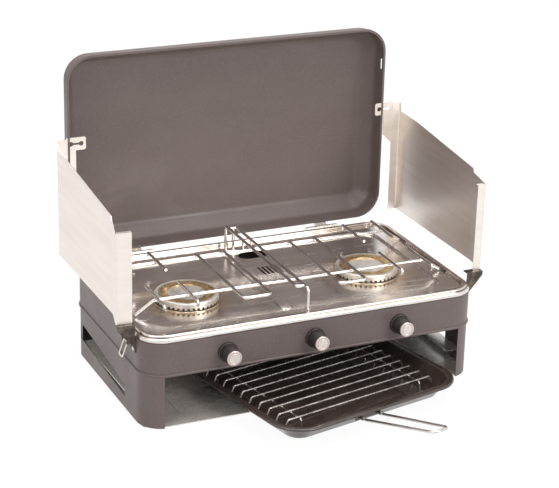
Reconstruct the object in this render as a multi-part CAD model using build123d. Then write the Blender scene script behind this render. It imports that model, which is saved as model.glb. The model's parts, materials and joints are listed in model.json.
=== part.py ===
from build123d import *
from math import cos, radians, sin, sqrt
import os

# Table-top gas stove with two hob burners, a grill under them and a lid that opens at the back.
# Lengths are in millimetres. X runs to the right, Y to the back and Z up.
# The shapes are made about the middle of the casing, with the table at zero height,
# and are moved at the end so that the middle of the whole part's floor area is the origin.

# Casing and base
casing_width = 500.0
casing_depth = 297.0
corner_radius = 36.0
sheet = 1.2
foot_height = 3.0
foot_radius = 6.0
foot_peg_radius = 2.0
peg_clearance = 0.1
foot_inset_x = 11.0
foot_inset_y = 26.0
base_inset = 0.5
base_top = 79.0
casing_top = 127.0
flange_width = 12.0
front_opening_width = 444.0
seam_bead = 1.6
seam_bead_height = 3.4
floor_gap = 0.4
rib_spacing = 96.0
rib_width = 6.0
rib_height = 1.2

# Side windows of the base: back and front ends with their heights
window_back = 125.0
window_back_low = 30.0
window_back_high = 56.0
window_front = -67.0
window_front_low = 20.5
window_front_high = 38.5

# Guide rails above the floor
rail_height = 26.0
rail_reach = 24.0
rail_nose = 3.6
rail_drop = 12.0
rail_tab = 20.0
rail_tab_inset = 30.0
rail_end_gap = 1.0

# Hob tray
hob_top = 137.0
rim_lower_top = 133.4
rim_width = 10.5
rim_step = 3.6
deck_level = 133.0
well_level = 129.6
well_width = 430.0
well_depth = 232.0
well_radius = 26.0
tray_gauge = 1.0
ridge_offset = -26.0
ridge_width = 15.0
ridge_rise = 1.9
vent_x = 10.0
vent_hole_length = 46.0
vent_hole_width = 26.0
vent_hole_y = 97.0
vent_slot_count = 5
vent_slot_pitch = 6.5
vent_slot_width = 3.0
vent_slot_length = 30.0
vent_slot_y = 35.0

# Controls
knob_pitch = 129.0
knob_middle_x = -4.0
knob_height = 102.0
knob_radius = 12.4
knob_face_radius = 11.2
knob_length = 18.0
knob_gap = 0.6
knob_cap_height = 2.4
knob_floor = 4.0
knob_taper_start = 3.0
knob_flutes = 18
flute_radius = 1.1
collar_radius = 14.2
collar_height = 4.0
tap_width = 18.0
tap_length = 20.0
tap_bore_depth = 14.0
spindle_end_gap = 1.0
tap_boss_radius = 5.2
spindle_radius = 3.0
spindle_clearance = 0.06
jet_radius = 3.4
stub_radius = 3.0
jet_length = 7.0
pipe_radius = 5.0
pipe_bore = 3.6
pipe_height = 87.6
nozzle_height = 97.0
pipe_rise_start = -70.0
pipe_rise_end = -40.0
pipe_to_tap_back = 7.2
pipe_end_reach = 14.0
pipe_bend = 16.0
feed_inset = 45.0
nozzle_radius = 4.5
nozzle_length = 24.0
nozzle_tip = 4.0
nozzle_bore = 2.4
gland_radius = 6.2
gland_length = 14.0
nut_across = 17.0
nut_height = 6.0

# Burners
burner_pitch = 139.0
burner_y = -25.0
bowl_radius = 34.0
bowl_bottom = 92.0
bowl_wall = 1.5
bowl_top = 132.6
bowl_flange = 4.0
hob_hole_clearance = 0.3
trim_ring_radius = 47.5
trim_ring_height = 1.8
crown_radius = 45.0
crown_height = 4.0
crown_bore_step = 6.0
crown_teeth = 40
tooth_slot = 3.2
tooth_depth = 6.0
tooth_roof = 1.4
cap_height = 5.6
cap_dish = 2.0
cap_rim = 5.0
brass_outer = 39.0
brass_inner = 27.0
brass_height = 1.6
mixer_radius = 8.0
mixer_bore = 7.0
jet_to_mixer = 5.8
air_hole_from_end = 9.0
mixer_clip_from_end = 20.0
mixer_clip_width = 8.0
air_hole_radius = 3.0

# Grill burner and the shield it lies on
shield_level = 80.2
grill_length = 262.0
grill_width = 72.0
grill_height = 8.4
grill_rim = 6.0
port_radius = 1.3
port_count = 20
port_pitch = 12.0
port_rows = 3
port_row_pitch = 18.0

# Pan support wires
wire_radius = 2.2
tie_radius = 1.8
foot_gap = 0.3
weld_sink = 0.3
support_centre = 0.5
support_height = 153.0
support_reach = 233.0
foot_splay = 26.0
support_front = -62.0
support_back = 62.0
end_finger = 203.0
middle_finger = 155.0
finger_front = -96.0
finger_back = 96.0
finger_length = 72.0
finger_drop = 7.0
loop_near = 52.0
loop_far = 93.0
loop_front = -108.0
wire_bend = 6.0
finger_bend = 3.0
bridge_x = -15.0
bridge_height = 169.0
bridge_front = -134.0
bridge_back = 126.0
bridge_half_gap = 6.0
bridge_turn = 4.0

# Lid and hinges
lid_gap = 0.4
lid_wall_depth = 24.0
lid_shoulder = 20.0
lid_inset = 2.0
lid_bead_height = 4.0
hinge_offset = 7.0
hinge_z = 132.3
hinge_x = 150.0
hinge_width = 50.0
hinge_lid_knuckle = 18.0
hinge_gap = 0.4
knuckle_radius = 4.0
pin_radius = 2.0
pin_clearance = 0.06
leaf_gauge = 1.2
leaf_height = 26.0
lid_leaf_reach = 22.0

# Windshields and the plates that hook them to the lid
shield_gauge = 0.8
left_crease = 266.5
right_crease = 280.0
shield_to_back = 13.0
shield_bend_y = -70.0
shield_front = -108.0
left_flare = 9.5
right_flare = -4.0
shield_bottom = 146.0
shield_rear_top = 304.0
shield_flange_top = 317.0
shield_rise_depth = 4.0
shield_rise_run = 3.0
shield_shoulder_y = 104.0
shield_shoulder_drop = 2.0
shield_slope_end_y = -66.0
shield_slope_end_z = 284.0
shield_step = 6.0
shield_front_top = 274.0
rear_flange = 14.0
left_front_flange = 23.0
right_front_flange = 13.0
shield_ledge = 6.0
hook_gap = 0.4
hook_gauge = 1.0
hook_tab_reach = 29.0
hook_tab_bottom = 300.0
hook_arm_reach = 14.0
hook_arm_bottom = 269.0
hook_arm_slant = 14.0
hook_top = 319.0
hook_slot_inset = 7.0
hook_slot_length = 15.0
hook_slot_width = 3.0
hook_slot_end_radius = 3.4
tongue_width = 9.0
tongue_length = 24.0
tongue_inset = 1.2

# Brackets and catches on the sides
bracket_gauge = 1.5
bracket_reach = 26.0
bracket_seat_gap = 0.3
bracket_offset = 1.0
bracket_length = 34.0
bracket_bottom = 105.5
bracket_rivet_inset = 4.5
socket_ahead = 6.0
socket_length = 11.5
socket_slot = 2.4
bail_behind_shield = 17.0
bail_half_width = 6.4
bail_radius = 1.1
bail_clearance = 0.08
bail_pivot_out = 4.6
bail_pivot_z = 118.0
bail_length = 25.5
bail_lean = 20.0
bail_bend = 2.6
ear_gap = 0.5
lid_slot_low = 4.8
lid_slot_high = 10.2
lid_slot_width = 16.0

# Grill pan, its rack and its handle
pan_width = 304.0
pan_length = 270.0
pan_radius = 46.0
pan_height = 27.0
pan_wall = 1.4
pan_lip = 9.0
lip_height = 3.2
pan_draft = 16.0
pan_gap = 0.3
pan_yaw = 12.0
pan_front_x = 51.0
pan_front_y = -250.0
rack_wire = 1.6
rack_rods = 10
rack_front = 48.0
rack_pitch = 20.8
rack_height = 20.0
rack_half = 127.0
rack_splay = 5.0
rack_cross_inset = 24.0
rack_bend = 3.0
rack_leg_reach = 6.0
rack_leg_bend = 2.5
rack_gap = 0.3
rack_foot = 9.0
rack_toe = 0.8
handle_wire = 2.1
handle_half_gap = 15.0
handle_offset = -20.0
handle_length = 140.0
handle_rise = 37.0
handle_drop = 6.0
handle_taper = 0.86
handle_bend_start = 8.0
tube_length = 10.0
tube_radius = 3.0
tube_front = -2.0
tube_drop = 0.4
handle_clearance = 0.08
handle_insert = 6.0

# Fasteners
rivet_head_radius = 3.0
rivet_head_height = 1.3
screw_head_radius = 3.6
screw_head_height = 2.0
screw_slot = 1.0
screw_places = (-200.0, -70.0, 70.0)

# Worked out from the sizes above
base_width = casing_width - 2 * base_inset
base_depth = casing_depth - 2 * base_inset
base_bottom = foot_height
floor_level = base_bottom + sheet
floor_top = floor_level + sheet
half_width = casing_width / 2
half_depth = casing_depth / 2
base_inner_x = base_width / 2 - sheet
rail_back = half_depth - corner_radius - rail_end_gap
rail_front = -rail_back
feed_x = half_width - feed_inset
rim_plane = hob_top + lid_gap
lid_depth = lid_wall_depth + lid_shoulder
hinge_y = half_depth + hinge_offset
lid_rim_y = hinge_y + rim_plane - hinge_z
pan_bottom = floor_top + pan_gap
pan_rim = pan_bottom + pan_height
cap_bottom = bowl_top + crown_height
cap_top = cap_bottom + cap_height
tube_offset = burner_pitch - knob_pitch
mixer_back = burner_y - sqrt(bowl_radius ** 2 - (mixer_radius + tube_offset) ** 2) + bowl_wall
tap_front = -half_depth + sheet
tap_back = tap_front + tap_length
tap_bore_end = tap_front + tap_bore_depth
pipe_y = tap_back - pipe_to_tap_back
mixer_front = tap_back + jet_length + jet_to_mixer
knob_back = -half_depth - collar_height - knob_gap
knob_front = knob_back - knob_length
plenum_bottom = shield_level + sheet
burner_xs = {"left": knob_middle_x - burner_pitch, "right": knob_middle_x + burner_pitch}
knob_xs = {"left": knob_middle_x - knob_pitch, "middle": knob_middle_x, "right": knob_middle_x + knob_pitch}
sides = {"left": -1, "right": 1}
creases = {"left": left_crease, "right": right_crease}
flares = {"left": left_flare, "right": right_flare}
front_flanges = {"left": left_front_flange, "right": right_front_flange}
shield_back = half_depth + shield_to_back
socket_front = shield_front - socket_ahead
socket_back = socket_front + socket_length
bracket_back = socket_front + bracket_length
bail_y = shield_front + bail_behind_shield

parts = {}


def block(x0, x1, y0, y1, z0, z1):
    # Box between two opposite corners, given in any order.
    size = (abs(x1 - x0), abs(y1 - y0), abs(z1 - z0))
    return Pos((x0 + x1) / 2, (y0 + y1) / 2, (z0 + z1) / 2) * Box(*size)


def slab(width, depth, radius, z0, z1):
    # Rounded rectangle about the casing's middle, between two heights.
    return Pos(0, 0, z0) * extrude(RectangleRounded(width, depth, radius), z1 - z0)


def ring_wall(width, depth, radius, thickness, z0, z1):
    # Upright wall that follows a rounded rectangle.
    inner = slab(width - 2 * thickness, depth - 2 * thickness, radius - thickness, z0, z1)
    return slab(width, depth, radius, z0, z1) - inner


def rod_x(x0, x1, y, z, radius):
    return Pos((x0 + x1) / 2, y, z) * Rot(0, 90, 0) * Cylinder(radius, abs(x1 - x0))


def rod_y(x, y0, y1, z, radius):
    return Pos(x, (y0 + y1) / 2, z) * Rot(90, 0, 0) * Cylinder(radius, abs(y1 - y0))


def rod_z(x, y, z0, z1, radius):
    return Pos(x, y, (z0 + z1) / 2) * Cylinder(radius, abs(z1 - z0))


def bent_wire(points, radius, bend):
    # Round wire along straight runs joined by tangent arcs.
    path = FilletPolyline(*points, radius=bend) if len(points) > 2 else Line(*points)
    start = Plane(origin=path @ 0, z_dir=path % 0)
    return sweep(start * Circle(radius), path=path)


def folded_sheet(points, thickness, z0, z1):
    # Sheet that stands on a folded line in plan, with mitred folds.
    line = [Vector(*p) for p in points]
    along = [(b - a).normalized() for a, b in zip(line, line[1:])]
    across = [Vector(-d.Y, d.X) for d in along]
    outer = []
    inner = []
    for i, point in enumerate(line):
        before = across[max(i - 1, 0)]
        after = across[min(i, len(across) - 1)]
        middle = (before + after).normalized()
        step = middle * (thickness / 2 / middle.dot(after))
        outer.append(tuple(point + step)[:2])
        inner.append(tuple(point - step)[:2])
    outline = Polyline(*outer, *reversed(inner), close=True)
    return Pos(0, 0, z0) * extrude(make_face(outline), z1 - z0)


def yz_prism(points, x0, x1):
    # Outline in the side view, pushed from one x to another.
    face = make_face(Polyline(*[(x0, y, z) for y, z in points], close=True))
    return extrude(face, x1 - x0, dir=(1, 0, 0))


def xz_prism(points, y0, y1):
    # Outline in the front view, pushed from one y to another.
    face = make_face(Polyline(*[(x, y0, z) for x, z in points], close=True))
    return extrude(face, y1 - y0, dir=(0, 1, 0))


def opened(shape):
    # From the closed lid's place to the open one, a quarter turn about the hinge line.
    return Pos(0, hinge_y, hinge_z) * Rot(-90, 0, 0) * Pos(0, -hinge_y, -hinge_z) * shape


# Base

def base_frame():
    wall = ring_wall(base_width, base_depth, corner_radius - base_inset, sheet, base_bottom, base_top)
    for z0 in (base_bottom, base_top - sheet):
        band = ring_wall(base_width, base_depth, corner_radius - base_inset, flange_width, z0, z0 + sheet)
        wall += band
    front = block(-front_opening_width / 2, front_opening_width / 2, -half_depth - 1,
                  -half_depth + flange_width + 4, base_bottom - 1, base_top - sheet)
    window = yz_prism(
        [
            (window_back, window_back_high),
            (window_back - 8, window_back_low),
            (window_front, window_front_low),
            (window_front, window_front_high),
        ],
        -half_width, half_width,
    )
    inside = block(-base_inner_x, base_inner_x, -half_depth, half_depth, base_bottom, base_top)
    body = wall - front - (window - inside)
    for x, y in foot_places():
        body -= rod_z(x, y, base_bottom - 1, floor_level + 1, foot_peg_radius + peg_clearance)
    return body


def foot_places():
    return [
        (sx * (half_width - foot_inset_x), sy * (half_depth - foot_inset_y))
        for sx in (-1, 1) for sy in (-1, 1)
    ]


def feet():
    shapes = []
    for x, y in foot_places():
        pad = rod_z(x, y, 0, base_bottom, foot_radius)
        pad = fillet(pad.edges().group_by(Axis.Z)[0], 0.8)
        shapes.append(pad + rod_z(x, y, base_bottom, floor_top, foot_peg_radius))
    return Compound(shapes)


def floor_plate():
    width = 2 * (base_inner_x - floor_gap)
    depth = base_depth - 2 * sheet - 2 * floor_gap
    plate = slab(width, depth, corner_radius - base_inset - sheet - floor_gap, floor_level, floor_top)
    for x, y in foot_places():
        plate -= rod_z(x, y, floor_level - 1, floor_top + 1, foot_peg_radius + peg_clearance)
    for x in (-2 * rib_spacing, 2 * rib_spacing):
        plate -= block(x - rib_width / 2, x + rib_width / 2, -half_depth + 30, half_depth - 30,
                       floor_top - rib_height / 2, floor_top)
    return plate


def guide_rail(side):
    # Shelf with a turned-up nose, on two tabs that are riveted to the side wall below the window.
    wall = base_inner_x
    shelf = block(side * wall, side * (wall - rail_reach), rail_front, rail_back, rail_height,
                  rail_height + sheet)
    nose = block(side * (wall - rail_reach), side * (wall - rail_reach + sheet), rail_front, rail_back,
                 rail_height, rail_height + rail_nose)
    rail = shelf + nose
    for y in rail_tabs():
        rail += block(side * wall, side * (wall - sheet), y - rail_tab / 2, y + rail_tab / 2,
                      rail_height - rail_drop, rail_height)
    return rail


def rail_tabs():
    return (rail_front + rail_tab_inset, rail_back - rail_tab_inset)


# Casing

def casing_shell():
    wall = ring_wall(casing_width, casing_depth, corner_radius, sheet, base_top, casing_top)
    wall += ring_wall(casing_width, casing_depth, corner_radius, flange_width, base_top, base_top + sheet)
    wall += ring_wall(casing_width, casing_depth, corner_radius, flange_width / 2, casing_top - sheet,
                      casing_top)
    bead = slab(casing_width + 2 * seam_bead, casing_depth + 2 * seam_bead, corner_radius + seam_bead,
                base_top, base_top + seam_bead_height)
    bead = fillet(bead.faces().filter_by(Axis.Z).edges(), seam_bead * 0.9)
    bead -= slab(casing_width, casing_depth, corner_radius, base_top, base_top + seam_bead_height)
    wall += bead
    for x in knob_xs.values():
        wall -= rod_y(x, -half_depth - 1, -half_depth + sheet + 1, knob_height,
                      tap_boss_radius + peg_clearance)
    wall -= rod_y(feed_x, half_depth - sheet - 1, half_depth + 1, nozzle_height,
                  gland_radius + peg_clearance)
    return wall


def heat_shield():
    width = casing_width - 2 * sheet - 2 * floor_gap
    depth = casing_depth - 2 * sheet - 2 * floor_gap
    plate = slab(width, depth, corner_radius - sheet - floor_gap, shield_level, shield_level + sheet)
    plate -= block(knob_middle_x - grill_length / 2 + grill_rim, knob_middle_x + grill_length / 2 - grill_rim,
                   -grill_width / 2 + grill_rim, grill_width / 2 - grill_rim, shield_level,
                   shield_level + sheet)
    return plate


def hob_tray():
    rim = slab(casing_width, casing_depth, corner_radius, casing_top, rim_lower_top)
    rim = fillet(rim.faces().filter_by(Axis.Z).edges(), 2.0)
    upper = slab(casing_width - 2 * rim_step, casing_depth - 2 * rim_step, corner_radius - rim_step,
                 casing_top, hob_top)
    upper = fillet(upper.faces().sort_by(Axis.Z)[-1].edges(), 2.2)
    deck_x = casing_width - 2 * rim_width
    deck_y = casing_depth - 2 * rim_width
    deck_r = corner_radius - rim_width
    tray = rim + upper
    tray -= slab(deck_x, deck_y, deck_r, deck_level, hob_top)
    tray -= slab(deck_x + 2, deck_y + 2, deck_r + 1, casing_top - 1, deck_level - tray_gauge)
    tray += slab(well_width + 2 * tray_gauge, well_depth + 2 * tray_gauge, well_radius + tray_gauge,
                 well_level - tray_gauge, deck_level - tray_gauge)
    well = slab(well_width, well_depth, well_radius, well_level, deck_level + 0.1)
    well = fillet(well.faces().sort_by(Axis.Z)[0].edges(), 2.0)
    tray -= well
    ridge = Pos(ridge_offset, 0, well_level) * extrude(
        RectangleRounded(ridge_width, well_depth - 2 * well_radius / 3, ridge_width / 2 - 0.1), ridge_rise)
    ridge = fillet(ridge.faces().sort_by(Axis.Z)[-1].edges(), 1.2)
    tray += ridge
    hole = SlotOverall(vent_hole_length, vent_hole_width)
    low = well_level - 2 * tray_gauge
    tray -= Pos(vent_x, vent_hole_y, low) * extrude(hole, 4 * tray_gauge)
    for i in range(vent_slot_count):
        x = vent_x + (i - (vent_slot_count - 1) / 2) * vent_slot_pitch
        slot = Pos(x, vent_slot_y, low) * Rot(0, 0, 90) * extrude(
            SlotOverall(vent_slot_length, vent_slot_width), 4 * tray_gauge)
        tray -= slot
    for x in burner_xs.values():
        tray -= rod_z(x, burner_y, low, deck_level + 1, bowl_radius + hob_hole_clearance)
    return tray


# Controls and gas parts

def tap(x):
    body = block(x - tap_width / 2, x + tap_width / 2, tap_front, tap_back, knob_height - tap_width / 2,
                 knob_height + tap_width / 2)
    body = fillet(body.edges().filter_by(Axis.Y), 3.0)
    body += rod_y(x, -half_depth - collar_height, tap_front, knob_height, tap_boss_radius)
    body += rod_z(x, pipe_y, pipe_height + pipe_radius - 1.0, knob_height, stub_radius)
    return body - rod_y(x, -half_depth - collar_height - 1, tap_bore_end, knob_height,
                        spindle_radius + spindle_clearance)


def jet(x):
    nozzle = rod_y(x, tap_back, tap_back + jet_length, knob_height, jet_radius)
    tip = nozzle.faces().sort_by(Axis.Y)[-1].edges()
    return chamfer(tip, 1.2)


def collar(x):
    ring = rod_y(x, -half_depth - collar_height, -half_depth, knob_height, collar_radius)
    ring = fillet(ring.faces().sort_by(Axis.Y)[0].edges(), 1.4)
    return ring - rod_y(x, -half_depth - collar_height - 1, -half_depth + 1, knob_height,
                        tap_boss_radius + peg_clearance)


def spindle(x):
    return rod_y(x, knob_front + knob_floor, tap_bore_end - spindle_end_gap, knob_height, spindle_radius)


def knob(x):
    outline = Polyline(
        (0, knob_back), (knob_radius, knob_back), (knob_radius, knob_back - knob_taper_start),
        (knob_face_radius, knob_front),
        (0, knob_front), close=True,
    )
    turned = revolve(make_face(outline), Axis.Y)
    body = Pos(x, 0, knob_height) * turned
    for i in range(knob_flutes):
        angle = 360 / knob_flutes * i
        reach = knob_radius + 0.35
        fx = x + reach * cos(radians(angle))
        fz = knob_height + reach * sin(radians(angle))
        body -= rod_y(fx, knob_back - 4.0, knob_front - 1, fz, flute_radius)
    return body - rod_y(x, knob_front + knob_floor, knob_back, knob_height, spindle_radius)


def knob_cap(x):
    disc = rod_y(x, knob_front - knob_cap_height, knob_front, knob_height, knob_face_radius - 0.4)
    disc = fillet(disc.faces().sort_by(Axis.Y)[0].edges(), 1.0)
    groove = rod_y(x, knob_front - knob_cap_height, knob_front - knob_cap_height + 0.6, knob_height, 7.6)
    groove -= rod_y(x, knob_front - knob_cap_height, knob_front - knob_cap_height + 0.6, knob_height, 6.4)
    return disc - groove


def gas_pipe():
    route = [
        (knob_xs["left"] - pipe_end_reach, pipe_y, pipe_height),
        (feed_x, pipe_y, pipe_height),
        (feed_x, pipe_rise_start, pipe_height),
        (feed_x, pipe_rise_end, nozzle_height),
        (feed_x, half_depth - gland_length, nozzle_height),
    ]
    pipe = bent_wire(route, pipe_radius, pipe_bend) - bent_wire(route, pipe_bore, pipe_bend)
    start = route[0][0]
    pipe += rod_x(start, start + 2, pipe_y, pipe_height, pipe_radius)
    for x in knob_xs.values():
        pipe -= rod_z(x, pipe_y, pipe_height, pipe_height + 2 * pipe_radius, stub_radius + peg_clearance)
    return pipe


def inlet_nozzle():
    wall = half_depth
    body = rod_y(feed_x, wall - gland_length, wall + nut_height, nozzle_height, gland_radius)
    tail_end = wall + nut_height + nozzle_length
    body += rod_y(feed_x, wall + nut_height, tail_end, nozzle_height, nozzle_radius)
    tip = Pos(feed_x, tail_end + nozzle_tip / 2, nozzle_height) * Rot(-90, 0, 0) * Cone(
        nozzle_radius, nozzle_radius - 1, nozzle_tip)
    bore = rod_y(feed_x, wall - gland_length - 1, tail_end + nozzle_tip + 1, nozzle_height, nozzle_bore)
    return body + tip - bore


def inlet_nut():
    hexagon = RegularPolygon(nut_across / 2, 6, major_radius=False)
    nut = Pos(feed_x, half_depth, nozzle_height) * Rot(-90, 0, 0) * extrude(hexagon, nut_height)
    return nut - rod_y(feed_x, half_depth - 1, half_depth + nut_height + 1, nozzle_height,
                       gland_radius + peg_clearance)


def pipe_clips():
    clips = []
    for x in (knob_middle_x - knob_pitch / 2, knob_middle_x + knob_pitch / 2):
        strap = rod_x(x - 5, x + 5, pipe_y, pipe_height, pipe_radius + sheet)
        strap -= rod_x(x - 5, x + 5, pipe_y, pipe_height, pipe_radius)
        strap -= block(x - 5, x + 5, pipe_y - 10, pipe_y + 10, shield_level, plenum_bottom)
        foot = block(x - 5, x + 5, tap_front, pipe_y - pipe_radius, pipe_height, pipe_height + sheet)
        pad = block(x - 5, x + 5, tap_front, tap_front + sheet, pipe_height, pipe_height + 12)
        clips.append(strap + foot + pad)
    return Compound(clips)


# Burners

def burner_bowl(x, tube_x):
    # Cup under the hob, with a hole in its front for the mixer tube.
    bowl = rod_z(x, burner_y, bowl_bottom, bowl_top, bowl_radius)
    bowl = fillet(bowl.faces().sort_by(Axis.Z)[0].edges(), 5.0)
    bowl += rod_z(x, burner_y, well_level, well_level + 1.0, bowl_radius + bowl_flange)
    bowl -= rod_z(x, burner_y, bowl_bottom + bowl_wall, bowl_top, bowl_radius - bowl_wall)
    bowl -= rod_y(tube_x, burner_y - bowl_radius - 1, mixer_back + mixer_radius, knob_height, mixer_radius)
    return bowl


def mixer_tube(x, back):
    tube = rod_y(x, mixer_front, back, knob_height, mixer_radius)
    tube -= rod_y(x, mixer_front, back, knob_height, mixer_bore)
    tube -= rod_x(x - mixer_radius - 1, x + mixer_radius + 1, mixer_front + air_hole_from_end, knob_height,
                  air_hole_radius)
    return tube


def mixer_clips():
    clips = []
    for x in knob_xs.values():
        y0 = mixer_front + mixer_clip_from_end
        y1 = y0 + mixer_clip_width
        strap = rod_y(x, y0, y1, knob_height, mixer_radius + sheet)
        leg = block(x - 5, x + 5, y0, y1, plenum_bottom, knob_height - mixer_radius - sheet / 2)
        foot = block(x - 12, x + 12, y0, y1, plenum_bottom, plenum_bottom + sheet)
        clips.append(strap + leg + foot - rod_y(x, y0, y1, knob_height, mixer_radius))
    return Compound(clips)


def trim_ring(x):
    ring = rod_z(x, burner_y, well_level, well_level + trim_ring_height, trim_ring_radius)
    ring = fillet(ring.faces().sort_by(Axis.Z)[-1].edges(), 1.2)
    return ring - rod_z(x, burner_y, well_level, well_level + trim_ring_height,
                        bowl_radius + bowl_flange + hob_hole_clearance)


def burner_crown(x):
    crown = rod_z(x, burner_y, bowl_top, cap_bottom, crown_radius)
    crown -= rod_z(x, burner_y, bowl_top, cap_bottom, bowl_radius - bowl_wall - crown_bore_step)
    for i in range(crown_teeth):
        cut = Rot(0, 0, 360 / crown_teeth * i) * block(
            crown_radius - tooth_depth, crown_radius + 1, -tooth_slot / 2, tooth_slot / 2, 0,
            crown_height - tooth_roof)
        crown -= Pos(x, burner_y, bowl_top) * cut
    return crown


def burner_cap(x):
    cap = rod_z(x, burner_y, cap_bottom, cap_top, crown_radius)
    cap = fillet(cap.faces().sort_by(Axis.Z)[-1].edges(), 2.4)
    dish = rod_z(x, burner_y, cap_top - cap_dish, cap_top, crown_radius - cap_rim)
    return cap - dish


def brass_ring(x):
    base = cap_top - cap_dish
    ring = rod_z(x, burner_y, base, base + brass_height, brass_outer)
    ring -= rod_z(x, burner_y, base, base + brass_height, brass_inner)
    return fillet(ring.faces().sort_by(Axis.Z)[-1].edges(), 0.5)


def grill_burner():
    x0 = knob_middle_x - grill_length / 2
    x1 = knob_middle_x + grill_length / 2
    z1 = plenum_bottom + grill_height
    box = block(x0, x1, -grill_width / 2, grill_width / 2, plenum_bottom, z1)
    box = fillet(box.edges().filter_by(Axis.Z), 8.0)
    box -= block(x0 + 8, x1 - 8, -grill_width / 2 + 8, grill_width / 2 - 8, plenum_bottom + sheet, z1 - sheet)
    neck_y = -grill_width / 2 + 6
    neck = block(knob_middle_x - 10, knob_middle_x + 10, neck_y, neck_y + 20, z1, knob_height + 10)
    neck -= block(knob_middle_x - 8.5, knob_middle_x + 8.5, neck_y + 1.5, neck_y + 18.5, z1 - sheet,
                  knob_height + 8.5)
    box += neck
    box -= rod_y(knob_middle_x, neck_y - 1, neck_y + 1.5, knob_height, mixer_radius)
    box -= block(knob_middle_x - 8.5, knob_middle_x + 8.5, neck_y + 2, neck_y + 18, z1 - sheet, z1)
    for row in range(port_rows):
        y = (row - (port_rows - 1) / 2) * port_row_pitch
        for i in range(port_count):
            x = knob_middle_x + (i - (port_count - 1) / 2) * port_pitch
            box -= rod_z(x, y, plenum_bottom, plenum_bottom + sheet, port_radius)
    return box


# Pan support

def pan_support():
    # Two bars with splayed feet, fingers and loops welded on top of them, and the middle bridge.
    z = support_height
    seat = deck_level + wire_radius + foot_gap
    top = z + 2 * wire_radius - weld_sink
    cx = support_centre
    reach = support_reach
    frame = centre_bridge()
    for y in (support_front, support_back):
        frame += bent_wire(
            [(cx - reach, y, seat), (cx - reach + foot_splay, y, z), (cx + reach - foot_splay, y, z),
             (cx + reach, y, seat)],
            wire_radius, wire_bend,
        )
    for side in (-1, 1):
        near = cx + side * loop_near
        far = cx + side * loop_far
        rear = support_back + wire_radius
        frame += bent_wire(
            [(near, rear, top), (near, loop_front, top), (far, loop_front, top), (far, rear, top)],
            wire_radius, wire_bend,
        )
        for offset in (end_finger, middle_finger):
            x = cx + side * offset
            frame += bent_wire(
                [(x, finger_front, top - finger_drop), (x, finger_front, top),
                 (x, finger_front + finger_length, top)],
                wire_radius, finger_bend,
            )
            frame += bent_wire(
                [(x, finger_back, top - finger_drop), (x, finger_back, top),
                 (x, finger_back - finger_length, top)],
                wire_radius, finger_bend,
            )
    return frame


def centre_bridge():
    # Two long wires between the burners. The right one has a post at the front, the left one turns into it.
    left = bridge_x - bridge_half_gap
    right = bridge_x + bridge_half_gap
    turn_y = bridge_front + 2 * wire_bend
    wires = bent_wire(
        [(right, bridge_front, deck_level), (right, bridge_front, bridge_height),
         (right, bridge_back, bridge_height), (right, bridge_back, deck_level)],
        wire_radius, wire_bend,
    )
    wires += bent_wire(
        [(bridge_x, turn_y, bridge_height), (left, turn_y, bridge_height),
         (left, bridge_back, bridge_height), (left, bridge_back, deck_level)],
        wire_radius, [bridge_turn, wire_bend],
    )
    wires += rod_x(bridge_x, right, turn_y, bridge_height, tie_radius)
    wires += rod_x(left, right, bridge_back - 2 * wire_bend, bridge_height, tie_radius)
    for x in (left, right):
        wires += rod_z(x, support_back, support_height, bridge_height, tie_radius)
    return wires


# Lid, made closed and then turned open

def lid_slab(inset, z0, z1):
    return slab(casing_width - 2 * inset, casing_depth - 2 * inset, corner_radius + 2 - inset, z0, z1)


def lid_dome(inset, top):
    # Straight wall, then a sloping shoulder up to the flat back of the pressing.
    z0 = rim_plane
    z1 = rim_plane + lid_wall_depth
    wall = lid_slab(inset, z0, z1)
    low = Pos(0, 0, z1) * RectangleRounded(casing_width - 2 * inset, casing_depth - 2 * inset,
                                           corner_radius + 2 - inset)
    slope = (top - z1) / lid_shoulder
    pull = lid_shoulder * slope
    high = Pos(0, 0, top) * RectangleRounded(casing_width - 2 * inset - 2 * pull,
                                             casing_depth - 2 * inset - 2 * pull,
                                             corner_radius + 2 - inset - pull * 0.6)
    return wall + loft(Sketch() + [low, high], ruled=True)


def lid_shell():
    outer = lid_dome(lid_inset, rim_plane + lid_depth)
    inner = lid_dome(lid_inset + sheet, rim_plane + lid_depth - sheet)
    bead = lid_slab(0, rim_plane, rim_plane + lid_bead_height)
    bead = fillet(bead.faces().filter_by(Axis.Z).edges(), 1.6)
    shell = outer + bead - inner
    slot_z = (rim_plane + lid_slot_low, rim_plane + lid_slot_high)
    shell -= block(-half_width - 1, half_width + 1, bail_y - lid_slot_width / 2, bail_y + lid_slot_width / 2,
                   *slot_z)
    shell = opened(shell)
    for side in sides.values():
        shell -= block(side * (half_width - lid_inset - sheet - 2), side * (half_width + 5), lid_rim_y - 1,
                       hook_y() + hook_gauge, hook_top + hook_gap,
                       hook_arm_bottom - hook_arm_slant - hook_gap)
    return shell


def hook_y():
    return lid_rim_y + 0.3


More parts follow.
